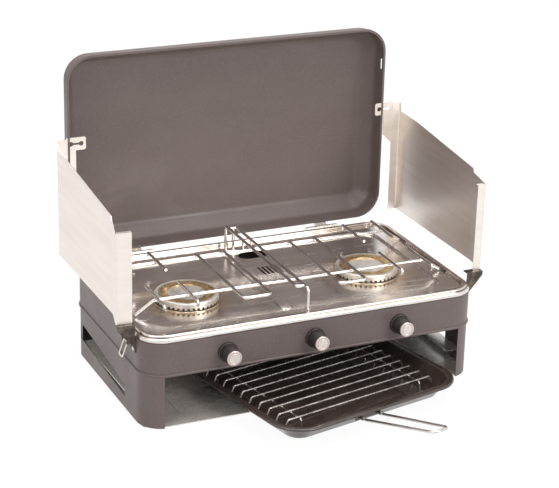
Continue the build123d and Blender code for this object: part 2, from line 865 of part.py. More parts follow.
def hook_plate(name):
    # Plate on the rim of the lid, with the slot that the windshield hooks into.
    side = sides[name]
    crease = creases[name]
    edge = crease - rear_flange - hook_gap
    tab_end = edge - hook_tab_reach
    arm_end = edge - hook_arm_reach
    low = hook_arm_bottom - hook_arm_slant
    outline = [
        (edge, hook_top), (tab_end + 2, hook_top), (tab_end, hook_top - 2), (tab_end, hook_tab_bottom + 2),
        (tab_end + 2, hook_tab_bottom), (arm_end, hook_tab_bottom), (arm_end, hook_arm_bottom), (edge, low),
    ]
    plate = xz_prism([(side * x, z) for x, z in outline], hook_y(), hook_y() + hook_gauge)
    mid_z = (hook_top + hook_tab_bottom) / 2
    start = tab_end + hook_slot_inset
    end = start + hook_slot_length
    y1 = hook_y() + hook_gauge
    plate -= block(side * start, side * end, hook_y(), y1, mid_z - hook_slot_width / 2,
                   mid_z + hook_slot_width / 2)
    for x in (start, end):
        plate -= rod_y(side * x, hook_y(), y1, mid_z, hook_slot_end_radius)
    return plate


def hinge_halves(side):
    # Casing leaf with two outer knuckles, lid leaf with the middle knuckle, and the pin.
    cx = side * hinge_x
    bore = pin_radius + pin_clearance
    x0 = cx - hinge_width / 2
    x1 = cx + hinge_width / 2
    inner0 = cx - hinge_lid_knuckle / 2
    inner1 = cx + hinge_lid_knuckle / 2
    top = hinge_z - knuckle_radius - 1.0
    y_wall = half_depth
    leaf = block(x0, x1, y_wall, y_wall + leaf_gauge, top - leaf_height, top)
    for a, b in ((x0, inner0 - hinge_gap), (inner1 + hinge_gap, x1)):
        leaf += rod_x(a, b, hinge_y, hinge_z, knuckle_radius)
        leaf += yz_prism([(y_wall, top - 6), (y_wall + leaf_gauge, top - 6), (hinge_y + 2, top + 2),
                          (hinge_y - 2, top + 2), (y_wall, top)], a, b)
    leaf -= rod_x(x0 - 1, x1 + 1, hinge_y, hinge_z, bore)
    lid_leaf = rod_x(inner0, inner1, hinge_y, hinge_z, knuckle_radius)
    under = lid_underside()
    lid_leaf += block(x0, x1, lid_rim_y + lid_bead_height + lid_gap, lid_rim_y + lid_leaf_reach,
                      under - leaf_gauge, under)
    bead_low = under - lid_inset
    lid_leaf += yz_prism([(hinge_y, hinge_z + knuckle_radius), (hinge_y, hinge_z - knuckle_radius + 1),
                          (lid_rim_y + lid_bead_height + 4, under - leaf_gauge),
                          (lid_rim_y + lid_bead_height + 2, under),
                          (lid_rim_y + lid_bead_height + lid_gap, under),
                          (lid_rim_y + lid_bead_height + lid_gap, bead_low - lid_gap),
                          (lid_rim_y - lid_gap, bead_low - lid_gap)], inner0, inner1)
    lid_leaf -= rod_x(inner0 - 1, inner1 + 1, hinge_y, hinge_z, bore)
    pin = rod_x(x0 - 1.5, x1 + 1.5, hinge_y, hinge_z, pin_radius)
    for x in (x0 - 1.5, x1 + 0.3):
        pin += rod_x(x, x + 1.2, hinge_y, hinge_z, pin_radius + 1.0)
    return leaf, lid_leaf, pin


def lid_underside():
    # Lower face of the open lid's bottom wall.
    return hinge_z + (hinge_y - half_depth) + lid_inset


# Windshields

def windshield(name):
    side = sides[name]
    crease = creases[name]
    corner = crease + flares[name]
    inner = corner - front_flanges[name]
    plan = [
        (crease - rear_flange, shield_back), (crease, shield_back), (crease, shield_bend_y),
        (corner, shield_front), (inner, shield_front),
    ]
    sheet_body = folded_sheet([(side * x, y) for x, y in plan], shield_gauge, shield_bottom, shield_flange_top)
    rise = shield_back - shield_rise_depth
    above = [
        (shield_back + 5, shield_flange_top + 5), (shield_back + 5, shield_flange_top),
        (rise, shield_flange_top), (rise - shield_rise_run, shield_rear_top),
        (shield_shoulder_y, shield_rear_top - shield_shoulder_drop), (shield_slope_end_y, shield_slope_end_z),
        (shield_slope_end_y - 2, shield_slope_end_z - shield_step), (shield_front - 5, shield_front_top),
        (shield_front - 5, shield_flange_top + 5),
    ]
    reach = max(crease, corner) + 5
    body = sheet_body - yz_prism(above, side * (half_width - 5), side * reach)
    body += block(side * inner, side * (corner - shield_gauge / 2), shield_front, shield_front + shield_ledge,
                  shield_front_top - shield_gauge, shield_front_top)
    tongue = inner + tongue_inset
    body += block(side * tongue, side * (tongue + tongue_width), shield_front - shield_gauge / 2,
                  shield_front + shield_gauge / 2, shield_bottom - tongue_length, shield_bottom + 2)
    return body


def side_bracket(side):
    # Plate on the casing's side, a slotted shelf that carries the windshield, and ears for the bail.
    face = half_width
    top = shield_bottom - bracket_seat_gap
    clear = face + bracket_offset
    outer = face + bracket_reach
    plate = block(side * face, side * (face + bracket_gauge), socket_front, bracket_back, bracket_bottom,
                  casing_top)
    shelf = block(side * clear, side * outer, socket_front, socket_back, top - bracket_gauge, top)
    shelf -= block(side * (face + bracket_gauge), side * (outer - 2), shield_front - socket_slot / 2,
                   shield_front + socket_slot / 2, top - bracket_gauge - 1, top + 1)
    cheek = xz_prism([(side * face, casing_top), (side * clear, casing_top), (side * clear, top),
                      (side * outer, top), (side * outer, top - 6), (side * face, bracket_bottom + 4)],
                     socket_front, socket_front + bracket_gauge)
    body = plate + shelf + cheek
    pivot = face + bail_pivot_out
    for step in (-1, 1):
        y = bail_y + step * (bail_half_width + bail_radius + ear_gap)
        body += block(side * face, side * (pivot + 4), y, y + step * bracket_gauge, bail_pivot_z - 5,
                      bail_pivot_z + 5)
    body -= rod_y(side * pivot, bracket_back + 2, socket_back + 0.5, bail_pivot_z,
                  bail_radius + bail_clearance)
    return body


def bail(side):
    x = half_width + bail_pivot_out
    end = bail_half_width + bail_radius + ear_gap + bracket_gauge + 0.2
    lean = radians(bail_lean)
    tip_x = x + bail_length * sin(lean)
    tip_z = bail_pivot_z - bail_length * cos(lean)
    points = [
        (side * x, bail_y - end, bail_pivot_z), (side * x, bail_y - bail_half_width, bail_pivot_z),
        (side * tip_x, bail_y - bail_half_width, tip_z), (side * tip_x, bail_y + bail_half_width, tip_z),
        (side * x, bail_y + bail_half_width, bail_pivot_z), (side * x, bail_y + end, bail_pivot_z),
    ]
    return bent_wire(points, bail_radius, [1.2, bail_bend, bail_bend, 1.2])


# Grill pan, made straight and then turned to where it stands

def placed_pan(shape):
    # Local origin: middle of the pan's front edge, with the pan behind it.
    return Pos(pan_front_x, pan_front_y, 0) * Rot(0, 0, pan_yaw) * shape


def pan_slab(inset, radius, z0, z1):
    outline = RectangleRounded(pan_width - 2 * inset, pan_length - 2 * inset, radius)
    return Pos(0, pan_length / 2, z0) * extrude(outline, z1 - z0)


def pan_tub(inset, bottom):
    low = Pos(0, pan_length / 2, bottom) * RectangleRounded(
        pan_width - 2 * (inset + pan_draft), pan_length - 2 * (inset + pan_draft),
        pan_radius - inset - pan_draft)
    high = Pos(0, pan_length / 2, pan_rim) * RectangleRounded(
        pan_width - 2 * inset, pan_length - 2 * inset, pan_radius - inset)
    return loft(Sketch() + [low, high], ruled=True)


def grill_pan():
    tub = pan_tub(pan_lip, pan_bottom)
    lip = pan_slab(0, pan_radius, pan_rim - lip_height, pan_rim)
    lip = fillet(lip.faces().filter_by(Axis.Z).edges(), 1.4)
    body = tub + lip - pan_tub(pan_lip + pan_wall, pan_bottom + pan_wall)
    return placed_pan(body)


def handle_height():
    return pan_rim - handle_drop


def handle_sockets():
    # Two short tubes on a plate under the lip at the pan's front.
    z = handle_height()
    xs = (handle_offset - handle_half_gap, handle_offset + handle_half_gap)
    shapes = block(xs[0] - 6, xs[1] + 6, pan_lip - 3.0, pan_lip - 1.0, z - 5, pan_rim - lip_height)
    for x in xs:
        shapes += rod_y(x, tube_front, tube_front + tube_length, z - tube_drop, tube_radius)
    for x in xs:
        shapes -= rod_y(x, tube_front - 1, tube_front + tube_length + 1, z, handle_wire + handle_clearance)
    shapes -= pan_tub(pan_lip, pan_bottom)
    return placed_pan(shapes)


def pan_handle():
    # Wire loop with both ends in the sockets, narrower and higher at its far end.
    z = handle_height()
    near = handle_half_gap
    far = handle_half_gap * handle_taper
    end = (-handle_length, z + handle_rise)
    points = [
        (handle_offset - near, handle_insert, z), (handle_offset - near, -handle_bend_start, z),
        (handle_offset - far, *end), (handle_offset + far, *end),
        (handle_offset + near, -handle_bend_start, z), (handle_offset + near, handle_insert, z),
    ]
    return placed_pan(bent_wire(points, handle_wire, [12, 9, 9, 12]))


def grill_rack():
    # Rods across the pan on two cross wires, whose ends are bent down to the pan's floor.
    floor = pan_bottom + pan_wall + rack_gap
    z = floor + rack_height
    last = rack_front + (rack_rods - 1) * rack_pitch
    low = z - 2 * rack_wire + weld_sink
    rack = None
    for side in (-1, 1):
        x = side * (rack_half - rack_cross_inset)
        wire = bent_wire(
            [(x, rack_front - rack_leg_reach, floor + rack_toe), (x, rack_front - rack_leg_bend, low),
             (x, last + rack_leg_bend, low), (x, last + rack_leg_reach, floor + rack_toe)],
            rack_wire, rack_bend,
        )
        rack = wire if rack is None else rack + wire
    for i in range(rack_rods):
        y = rack_front + i * rack_pitch
        rack += bent_wire(
            [(-rack_half, y, z - rack_foot), (-rack_half + rack_splay, y, z), (rack_half - rack_splay, y, z),
             (rack_half, y, z - rack_foot)],
            rack_wire, rack_bend,
        )
    return placed_pan(rack)


# Fasteners

def rivet_out(x, y, z, side):
    # Rivet along X with its head on the outer side.
    head = rod_x(x, x + side * rivet_head_height, y, z, rivet_head_radius)
    outer = head.faces().sort_by(Axis.X)[-1 if side > 0 else 0]
    return fillet(outer.edges(), 0.8)


def bracket_rivets():
    shapes = []
    for side in (-1, 1):
        for y in (bracket_back - bracket_rivet_inset, socket_back - bracket_rivet_inset):
            x = side * (half_width + bracket_gauge)
            shapes.append(rivet_out(x, y, bracket_bottom + rivet_head_radius + 0.4, side))
    return shapes


def hinge_rivets():
    shapes = []
    for side in (-1, 1):
        for step in (-1, 1):
            x = side * hinge_x + step * hinge_width * 0.32
            z = hinge_z - knuckle_radius - 1.0 - leaf_height * 0.55
            head = rod_y(x, half_depth + leaf_gauge, half_depth + leaf_gauge + rivet_head_height, z,
                         rivet_head_radius)
            shapes.append(fillet(head.faces().sort_by(Axis.Y)[-1].edges(), 0.8))
    return shapes


def rail_rivets():
    shapes = []
    for side in (-1, 1):
        for y in rail_tabs():
            x = side * (base_inner_x - sheet)
            head = rod_x(x, x - side * rivet_head_height, y, rail_height - rail_drop / 2,
                         rivet_head_radius)
            shapes.append(head)
    return shapes


def back_screws():
    shapes = []
    for x in screw_places:
        z = base_top + 9
        head = rod_y(x, half_depth, half_depth + screw_head_height, z, screw_head_radius)
        head = fillet(head.faces().sort_by(Axis.Y)[-1].edges(), 1.0)
        slot = block(x - screw_head_radius, x + screw_head_radius, half_depth + screw_head_height - 0.8,
                     half_depth + screw_head_height, z - screw_slot / 2,
                     z + screw_slot / 2)
        shapes.append(head - slot)
    return Compound(shapes)


parts["base_frame"] = base_frame()
parts["feet"] = feet()
parts["floor_plate"] = floor_plate()
for name, side in sides.items():
    parts[f"guide_rail_{name}"] = guide_rail(side)
parts["casing_shell"] = casing_shell()
parts["heat_shield"] = heat_shield()
parts["hob_tray"] = hob_tray()
parts["gas_pipe"] = gas_pipe()
parts["pipe_clips"] = pipe_clips()
parts["inlet_nozzle"] = inlet_nozzle()
parts["inlet_nut"] = inlet_nut()
parts["back_screws"] = back_screws()
parts["taps"] = Compound([tap(x) for x in knob_xs.values()])
parts["jets"] = Compound([jet(x) for x in knob_xs.values()])
parts["knob_collars"] = Compound([collar(x) for x in knob_xs.values()])
for name, x in knob_xs.items():
    parts[f"spindle_{name}"] = spindle(x)
    parts[f"knob_{name}"] = knob(x)
    parts[f"knob_cap_{name}"] = knob_cap(x)
for name, x in burner_xs.items():
    parts[f"burner_bowl_{name}"] = burner_bowl(x, knob_xs[name])
    parts[f"mixer_tube_{name}"] = mixer_tube(knob_xs[name], mixer_back)
    parts[f"burner_crown_{name}"] = burner_crown(x)
    parts[f"burner_cap_{name}"] = burner_cap(x)
    parts[f"brass_ring_{name}"] = brass_ring(x)
parts["trim_rings"] = Compound([trim_ring(x) for x in burner_xs.values()])
parts["grill_mixer_tube"] = mixer_tube(knob_middle_x, -grill_width / 2 + 7.5)
parts["mixer_clips"] = mixer_clips()
parts["grill_burner"] = grill_burner()
parts["pan_support"] = pan_support()
parts["lid_shell"] = lid_shell()
leaves = [hinge_halves(side) for side in sides.values()]
parts["hinge_casing_leaves"] = Compound([leaf[0] for leaf in leaves])
parts["hinge_lid_leaves"] = Compound([leaf[1] for leaf in leaves])
parts["hinge_pins"] = Compound([leaf[2] for leaf in leaves])
for name, side in sides.items():
    parts[f"hook_plate_{name}"] = hook_plate(name)
    parts[f"windshield_{name}"] = windshield(name)
    parts[f"side_bracket_{name}"] = side_bracket(side)
    parts[f"catch_bail_{name}"] = bail(side)
parts["rivets"] = Compound(rail_rivets() + hinge_rivets() + bracket_rivets())
parts["grill_pan"] = grill_pan()
parts["handle_sockets"] = handle_sockets()
parts["pan_handle"] = pan_handle()
parts["grill_rack"] = grill_rack()

# Origin: middle of the floor area that the whole part covers
boxes = [shape.bounding_box() for shape in parts.values()]
centre_x = (min(b.min.X for b in boxes) + max(b.max.X for b in boxes)) / 2
centre_y = (min(b.min.Y for b in boxes) + max(b.max.Y for b in boxes)) / 2
to_origin = Location((-centre_x, -centre_y, 0))

os.makedirs("parts", exist_ok=True)
for name, shape in parts.items():
    export_step(shape.moved(to_origin), f"parts/{name}.step")
print(len(parts), "nodes, origin moved by", round(centre_x, 3), round(centre_y, 3))
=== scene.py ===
# %% [markdown]
# # A table-top gas stove with a grill, an upright lid and two windshields
#
# The solids of this stove were drawn in a CAD program. They arrive here as a fixed frame, with every part
# already in its place. This lesson gives each part its finish, models the thin pressed parts again with
# soft bends, and sets up a camera, a floor and studio light. Lengths in Blender are in metres.

# %% Load the frame
import json
from math import cos, pi, radians, sin

import bmesh
import bpy
from mathutils import Matrix, Vector


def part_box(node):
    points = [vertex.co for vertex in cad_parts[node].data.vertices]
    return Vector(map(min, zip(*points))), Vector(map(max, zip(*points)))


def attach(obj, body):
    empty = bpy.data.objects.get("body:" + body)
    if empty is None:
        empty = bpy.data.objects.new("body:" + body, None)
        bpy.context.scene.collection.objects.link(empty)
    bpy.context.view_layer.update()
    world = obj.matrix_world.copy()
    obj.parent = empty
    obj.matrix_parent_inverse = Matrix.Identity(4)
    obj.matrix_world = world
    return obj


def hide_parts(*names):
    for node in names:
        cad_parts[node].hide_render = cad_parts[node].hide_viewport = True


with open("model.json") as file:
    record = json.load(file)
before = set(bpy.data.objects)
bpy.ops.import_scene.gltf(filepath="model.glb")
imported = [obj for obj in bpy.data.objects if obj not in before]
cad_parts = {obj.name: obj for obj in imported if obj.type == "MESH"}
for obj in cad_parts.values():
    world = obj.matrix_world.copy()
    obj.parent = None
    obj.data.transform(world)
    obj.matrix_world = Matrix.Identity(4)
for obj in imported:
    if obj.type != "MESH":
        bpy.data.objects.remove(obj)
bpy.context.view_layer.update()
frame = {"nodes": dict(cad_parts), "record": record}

# %% [markdown]
# ## Tools for the finishes
#
# Every finish starts from one Principled shader. What makes metal look real is the small change from place
# to place: a little lighter here, a little rougher there. A noise texture gives that change, and a Map
# Range node turns it into the range that is needed. All patterns read Object coordinates. Every part sits
# at the origin, so these are real metres, and a noise scale of 500 means grains of about two millimetres.

# %% Patterns in space
class Pattern:
    """A material with short names for the textures that the finishes share."""

    def __init__(self, name, metallic=0.0, roughness=0.5):
        self.material = bpy.data.materials.new(name)
        self.material.use_nodes = True
        self.nodes = self.material.node_tree.nodes
        self.links = self.material.node_tree.links
        self.shader = self.nodes["Principled BSDF"]
        self.shader.inputs["Metallic"].default_value = metallic
        self.shader.inputs["Roughness"].default_value = roughness
        self.place = self.nodes.new("ShaderNodeTexCoord").outputs["Object"]

    def moved(self, scale=(1, 1, 1), location=(0, 0, 0)):
        mapping = self.nodes.new("ShaderNodeMapping")
        mapping.inputs["Scale"].default_value = scale
        mapping.inputs["Location"].default_value = location
        self.links.new(self.place, mapping.inputs["Vector"])
        return mapping.outputs["Vector"]

    def noise(self, scale, detail=2.0, stretch=None):
        texture = self.nodes.new("ShaderNodeTexNoise")
        texture.inputs["Scale"].default_value = scale
        texture.inputs["Detail"].default_value = detail
        self.links.new(self.moved(stretch) if stretch else self.place, texture.inputs["Vector"])
        return texture.outputs["Fac"]

    def ranged(self, value, low, high, start=0.3, end=0.7):
        scaled = self.nodes.new("ShaderNodeMapRange")
        scaled.inputs["From Min"].default_value = start
        scaled.inputs["From Max"].default_value = end
        scaled.inputs["To Min"].default_value = low
        scaled.inputs["To Max"].default_value = high
        self.links.new(value, scaled.inputs["Value"])
        return scaled.outputs["Result"]


print("a pattern has", [name for name in vars(Pattern) if not name.startswith("_")])

# %% [markdown]
# The textures give plain numbers. They still have to be mixed into colours and sent to the shader's
# sockets. Bumps are added one on another, so a finish can have both a wide ripple and a fine grain.

# %% From patterns to a finish
class Finish(Pattern):
    """Adds what mixes the patterns and sends them to the shader."""

    def blend(self, factor, first, second):
        mix = self.nodes.new("ShaderNodeMix")
        mix.data_type = "RGBA"
        self.links.new(factor, mix.inputs["Factor"])
        for socket, colour in ((mix.inputs[6], first), (mix.inputs[7], second)):
            if isinstance(colour, tuple):
                socket.default_value = (*colour, 1)
            else:
                self.links.new(colour, socket)
        return mix.outputs[2]

    def maths(self, operation, first, second=0.0):
        node = self.nodes.new("ShaderNodeMath")
        node.operation = operation
        for socket, value in zip(node.inputs, (first, second)):
            if isinstance(value, (int, float)):
                socket.default_value = value
            else:
                self.links.new(value, socket)
        return node.outputs["Value"]

    def colour(self, value):
        self.links.new(value, self.shader.inputs["Base Color"])

    def roughness(self, value):
        self.links.new(value, self.shader.inputs["Roughness"])

    def bumps(self, *heights):
        # Each height is a texture value with its depth in metres.
        normal = None
        for value, depth in heights:
            bump = self.nodes.new("ShaderNodeBump")
            bump.inputs["Strength"].default_value = 1.0
            bump.inputs["Distance"].default_value = depth
            self.links.new(value, bump.inputs["Height"])
            if normal:
                self.links.new(normal, bump.inputs["Normal"])
            normal = bump.outputs["Normal"]
        self.links.new(normal, self.shader.inputs["Normal"])


finishes = {}
print("a finish adds", [name for name in vars(Finish) if not name.startswith("_")])

# %% [markdown]
# ## Painted sheet steel
#
# The base, the casing and the lid are sprayed a warm dark grey. Sprayed paint isn't flat: it has a fine
# orange peel, it is a little cloudy, and handling leaves faint polished marks. Two noises of very different
# size make the cloudiness and the grain, and stretched noise makes the rubbed marks.

# %% Painted sheet
paint = Finish("painted_sheet", roughness=0.4)
cloud = paint.ranged(paint.noise(5, 3), 0, 1)
grey = paint.blend(cloud, (0.128, 0.096, 0.091), (0.152, 0.117, 0.111))
speck = paint.ranged(paint.noise(900, 1), 0, 1, 0.58, 0.72)
grey = paint.blend(speck, grey, (0.20, 0.165, 0.158))
rub = paint.ranged(paint.noise(12, 5, (1, 1, 2)), 0, 0.7, 0.5, 0.8)
grey = paint.blend(rub, grey, (0.165, 0.130, 0.123))
paint.colour(grey)
paint.roughness(paint.ranged(paint.noise(14, 4), 0.34, 0.5))
paint.shader.inputs["Specular IOR Level"].default_value = 0.55
paint.bumps((paint.noise(420, 2), 0.00012), (paint.noise(1700, 1), 0.00003))
finishes["painted_sheet"] = paint
print("painted sheet:", len(paint.nodes), "nodes")

# %% [markdown]
# ## Polished hob steel
#
# The hob is stainless steel, polished along its length. Polishing leaves hair-fine lines in X, so the noise
# for roughness and bump is squeezed in Y and Z and long in X. Around the burners the heat turns steel to
# straw and brown. A spherical gradient about each burner gives that tint.

# %% Hob steel with heat tint
hob = Finish("polished_hob_steel", metallic=1.0, roughness=0.2)
lines = hob.noise(9, 3, (1, 60, 60))
tone = hob.blend(hob.ranged(lines, 0, 1), (0.70, 0.655, 0.62), (0.84, 0.795, 0.76))
stain = hob.ranged(hob.noise(18, 4), 0, 1, 0.5, 0.75)
tone = hob.blend(hob.maths("MULTIPLY", stain, 0.45), tone, (0.47, 0.42, 0.37))
tint_reach = 0.105
for crown in ("burner_crown_left", "burner_crown_right"):
    low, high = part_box(crown)
    middle = (low + high) / 2
    ball = hob.nodes.new("ShaderNodeTexGradient")
    ball.gradient_type = "SPHERICAL"
    shift = (-middle.x / tint_reach, -middle.y / tint_reach, -middle.z / tint_reach)
    hob.links.new(hob.moved((1 / tint_reach,) * 3, shift), ball.inputs["Vector"])
    warm = hob.ranged(ball.outputs["Fac"], 0, 0.75, 0.22, 0.6)
    tone = hob.blend(warm, tone, (0.50, 0.36, 0.22))
print("heat tint reaches", round(tint_reach * 1000), "mm from each burner")

# %% [markdown]
# The rim of the hob has two rolls, one on the other. The height above the table picks out the rim and the
# crease between the rolls, each with a soft start. Both get painted shade: the rim a darker grey, the crease
# a dark line.

# %% Rim of the hob with painted shade
rim_shade_start, crease_shade_start, crease_shade_end = (0.1331, 0.1335), (0.1334, 0.1336), (0.1344, 0.1352)
split = hob.nodes.new("ShaderNodeSeparateXYZ")
hob.links.new(hob.place, split.inputs["Vector"])
level = split.outputs["Z"]
# Painted shade: the rim above this level is painted a darker grey than the rest of the same steel.
tone = hob.blend(hob.ranged(level, 0, 1, *rim_shade_start), tone, (0.66, 0.60, 0.55))
# Painted shade: the crease between the two rolls is painted dark.
shade_above_roll = hob.ranged(level, 0, 1, *crease_shade_start)
shade_below_roll = hob.ranged(level, 1, 0, *crease_shade_end)
tone = hob.blend(hob.maths("MULTIPLY", shade_above_roll, shade_below_roll), tone, (0.22, 0.18, 0.155))
hob.colour(tone)
hob.roughness(hob.ranged(hob.noise(12, 4, (1, 8, 8)), 0.13, 0.3))
hob.bumps((lines, 0.00002), (hob.noise(13, 2), 0.00014))
finishes["polished_hob_steel"] = hob
print("hob steel:", len(hob.nodes), "nodes")

# %% [markdown]
# ## Chromed and plated wire
#
# The pan support, the rack and the handle are chromed wire. Chrome mirrors its surroundings, so nearly all
# of its look comes from the light. It needs only slight dull patches, and a brown bloom where it gets hot.
# The rack stands in the heat of the grill, so its wire is browner than the rest. The fittings are zinc
# plated or dark.

# %% Chrome, plated steel and dark steel
chrome = Finish("chromed_wire", metallic=1.0, roughness=0.12)
bloom = chrome.ranged(chrome.noise(22, 3), 0, 1, 0.52, 0.78)
chrome.colour(chrome.blend(bloom, (0.68, 0.655, 0.635), (0.48, 0.43, 0.38)))
chrome.roughness(chrome.ranged(chrome.noise(160, 3), 0.07, 0.22))
chrome.bumps((chrome.noise(700, 2), 0.00003))
finishes["chromed_wire"] = chrome

browned = Finish("browned_rack_wire", metallic=1.0, roughness=0.25)
burnt = browned.ranged(browned.noise(45, 4), 0, 1, 0.4, 0.7)
browned.colour(browned.blend(burnt, (0.46, 0.43, 0.41), (0.24, 0.20, 0.17)))
browned.roughness(browned.ranged(browned.noise(200, 3), 0.16, 0.36))
browned.bumps((browned.noise(600, 3), 0.00006))
finishes["browned_rack_wire"] = browned

plated = Finish("plated_steel", metallic=1.0, roughness=0.3)
plated.colour(plated.blend(plated.ranged(plated.noise(60, 3), 0, 1), (0.66, 0.60, 0.50), (0.78, 0.74, 0.68)))
plated.roughness(plated.ranged(plated.noise(220, 3), 0.2, 0.4))
plated.bumps((plated.noise(900, 2), 0.00004))
finishes["plated_steel"] = plated

dark = Finish("dark_plated_steel", metallic=0.85, roughness=0.35)
worn = dark.ranged(dark.noise(90, 4), 0, 1, 0.4, 0.7)
dark.colour(dark.blend(worn, (0.075, 0.062, 0.052), (0.20, 0.17, 0.14)))
dark.roughness(dark.ranged(dark.noise(130, 3), 0.25, 0.48))
dark.bumps((dark.noise(500, 3), 0.0001))
finishes["dark_plated_steel"] = dark
print("four finishes for wires and fittings")

# %% [markdown]
# ## Aluminium sheet, galvanised sheet and cast aluminium
#
# The windshields are plain rolled aluminium. Rolling leaves long, soft streaks, which here run along the
# sheet. The floor plate is galvanised: zinc freezes in flat crystals, and a Voronoi texture draws those
# faintly. The burner castings are grainy and matt, because sand leaves its print in them.

# %% Sheet and cast metals
alu = Finish("aluminium_sheet", metallic=1.0, roughness=0.4)
streak = alu.noise(7, 4, (1, 1, 14))
alu.colour(alu.blend(alu.ranged(streak, 0, 1), (0.80, 0.735, 0.68), (0.87, 0.81, 0.755)))
fine = alu.noise(60, 3, (1, 1, 30))
alu.roughness(alu.ranged(fine, 0.34, 0.44))
alu.bumps((fine, 0.000012), (alu.noise(9, 2), 0.0004))
finishes["aluminium_sheet"] = alu

zinc = Finish("galvanised_sheet", metallic=0.4, roughness=0.35)
crystals = zinc.nodes.new("ShaderNodeTexVoronoi")
crystals.inputs["Scale"].default_value = 95
zinc.links.new(zinc.place, crystals.inputs["Vector"])
leaf = zinc.nodes.new("ShaderNodeSeparateColor")
zinc.links.new(crystals.outputs["Color"], leaf.inputs["Color"])
zinc.colour(zinc.blend(leaf.outputs["Red"], (0.84, 0.80, 0.76), (0.89, 0.85, 0.81)))
zinc.roughness(zinc.ranged(leaf.outputs["Green"], 0.25, 0.29, 0, 1))
zinc.bumps((zinc.noise(300, 2), 0.00006))
finishes["galvanised_sheet"] = zinc

cast = Finish("cast_aluminium", metallic=1.0, roughness=0.45)
cast.colour(cast.blend(cast.ranged(cast.noise(70, 4), 0, 1), (0.62, 0.59, 0.55), (0.80, 0.78, 0.75)))
cast.roughness(cast.ranged(cast.noise(240, 3), 0.34, 0.55))
cast.bumps((cast.noise(1100, 3), 0.00012))
finishes["cast_aluminium"] = cast
print("sheet and cast metals done")

# %% [markdown]
# ## Brass, enamel, plastic and rubber
#
# Enamel is glass melted on steel: very smooth, slightly wavy and with tiny pits, so it gets a coat over a
# dark base. The black plastic of the knobs has a fine moulded grain. Brass goes brown where it is heated,
# and rubber is the dullest of all, with dust in its pores.

# %% The small finishes
brass = Finish("brass", metallic=1.0, roughness=0.3)
brass.colour(brass.blend(brass.ranged(brass.noise(110, 4), 0, 1), (0.46, 0.30, 0.14), (0.72, 0.54, 0.29)))
brass.roughness(brass.ranged(brass.noise(300, 2), 0.22, 0.42))
brass.bumps((brass.noise(800, 2), 0.00005))
finishes["brass"] = brass

enamel = Finish("black_enamel", roughness=0.16)
pit = enamel.ranged(enamel.noise(1300, 1), 0, 1, 0.66, 0.74)
black = enamel.blend(enamel.ranged(enamel.noise(30, 3), 0, 1), (0.034, 0.023, 0.019), (0.058, 0.041, 0.035))
enamel.colour(enamel.blend(pit, black, (0.12, 0.11, 0.10)))
enamel.roughness(enamel.ranged(enamel.noise(40, 4), 0.1, 0.3))
enamel.shader.inputs["Coat Weight"].default_value = 0.6
enamel.shader.inputs["Coat Roughness"].default_value = 0.06
enamel.bumps((enamel.noise(190, 2), 0.00022))
finishes["black_enamel"] = enamel

plastic = Finish("black_plastic", roughness=0.4)
plastic.colour(plastic.blend(plastic.ranged(plastic.noise(150, 3), 0, 1), (0.018, 0.013, 0.011),
                             (0.036, 0.028, 0.025)))
plastic.roughness(plastic.ranged(plastic.noise(350, 2), 0.32, 0.52))
plastic.bumps((plastic.noise(2200, 1), 0.00006))
finishes["black_plastic"] = plastic

rubber = Finish("rubber", roughness=0.8)
rubber.colour(rubber.blend(rubber.ranged(rubber.noise(200, 4), 0, 1, 0.45, 0.8), (0.03, 0.03, 0.03),
                           (0.11, 0.105, 0.10)))
rubber.roughness(rubber.ranged(rubber.noise(400, 2), 0.7, 0.92))
rubber.bumps((rubber.noise(1500, 2), 0.0001))
finishes["rubber"] = rubber
print("brass, enamel, plastic and rubber done")

# %% [markdown]
# ## The faces of the knobs
#
# Each knob has a bright metal face turned on a lathe, so its fine lines are circles about the knob's own
# axis. The three knobs stand at equal distances in X. A Wrap node folds them onto one place, and the
# distance from the axis then drives the rings.

# %% Knob faces with turned rings
face = Finish("bright_face", metallic=0.9, roughness=0.3)
low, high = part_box("knob_cap_middle")
middle = (low + high) / 2
pitch = (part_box("knob_cap_right")[0] - low).x
ring_waves, band_start = 14000, (0.0076, 0.0079)
split = face.nodes.new("ShaderNodeSeparateXYZ")
face.links.new(face.moved(location=(-middle.x, 0, -middle.z)), split.inputs["Vector"])
wrap = face.nodes.new("ShaderNodeMath")
wrap.operation = "WRAP"
wrap.inputs[1].default_value = pitch / 2
wrap.inputs[2].default_value = -pitch / 2
face.links.new(split.outputs["X"], wrap.inputs[0])
across = face.maths("POWER", wrap.outputs["Value"], 2.0)
upward = face.maths("POWER", split.outputs["Z"], 2.0)
radius = face.maths("SQRT", face.maths("ADD", across, upward))
rings = face.maths("SINE", face.maths("MULTIPLY", radius, ring_waves))
bright = face.blend(face.ranged(rings, 0, 1, -1, 1), (0.70, 0.62, 0.59), (0.88, 0.81, 0.78))
band = face.ranged(radius, 0, 1, *band_start)
bright = face.blend(band, bright, (0.62, 0.50, 0.47))
face.colour(face.blend(face.ranged(face.noise(160, 3), 0, 0.5), bright, (0.60, 0.56, 0.54)))
face.roughness(face.ranged(face.noise(500, 2), 0.22, 0.4))
face.bumps((rings, 0.00001), (face.noise(900, 2), 0.00003))
finishes["bright_face"] = face
print("knob pitch", round(pitch * 1000, 1), "mm")

# %% [markdown]
# ## Give every CAD part its finish
#
# The record of the part says which finish each node has. One loop puts the material into each node's slots,
# so no part keeps the plain colour that it came with.

# %% Assign the finishes
slots = {part["node"]: part["material_slot"] for part in frame["record"]["subparts"]}
for name, node in frame["nodes"].items():
    finish = "browned_rack_wire" if name == "grill_rack" else slots[name]
    material = finishes[finish].material
    if not node.data.materials:
        node.data.materials.append(material)
    for index in range(len(node.data.materials)):
        node.data.materials[index] = material
print("finishes used:", sorted(set(slots.values())))

# %% [markdown]
# ## Tools for sheet-metal pieces
#
# Thin pressed parts catch the light along their bends, and that is what the eye reads as sheet metal. A CAD
# solid has sharp folds, so the lid, the windshields and the grill pan are modelled again here as surfaces:
# an outline is extruded and inset, its folds are bevelled, and the surface is given its thickness at the
# very end.

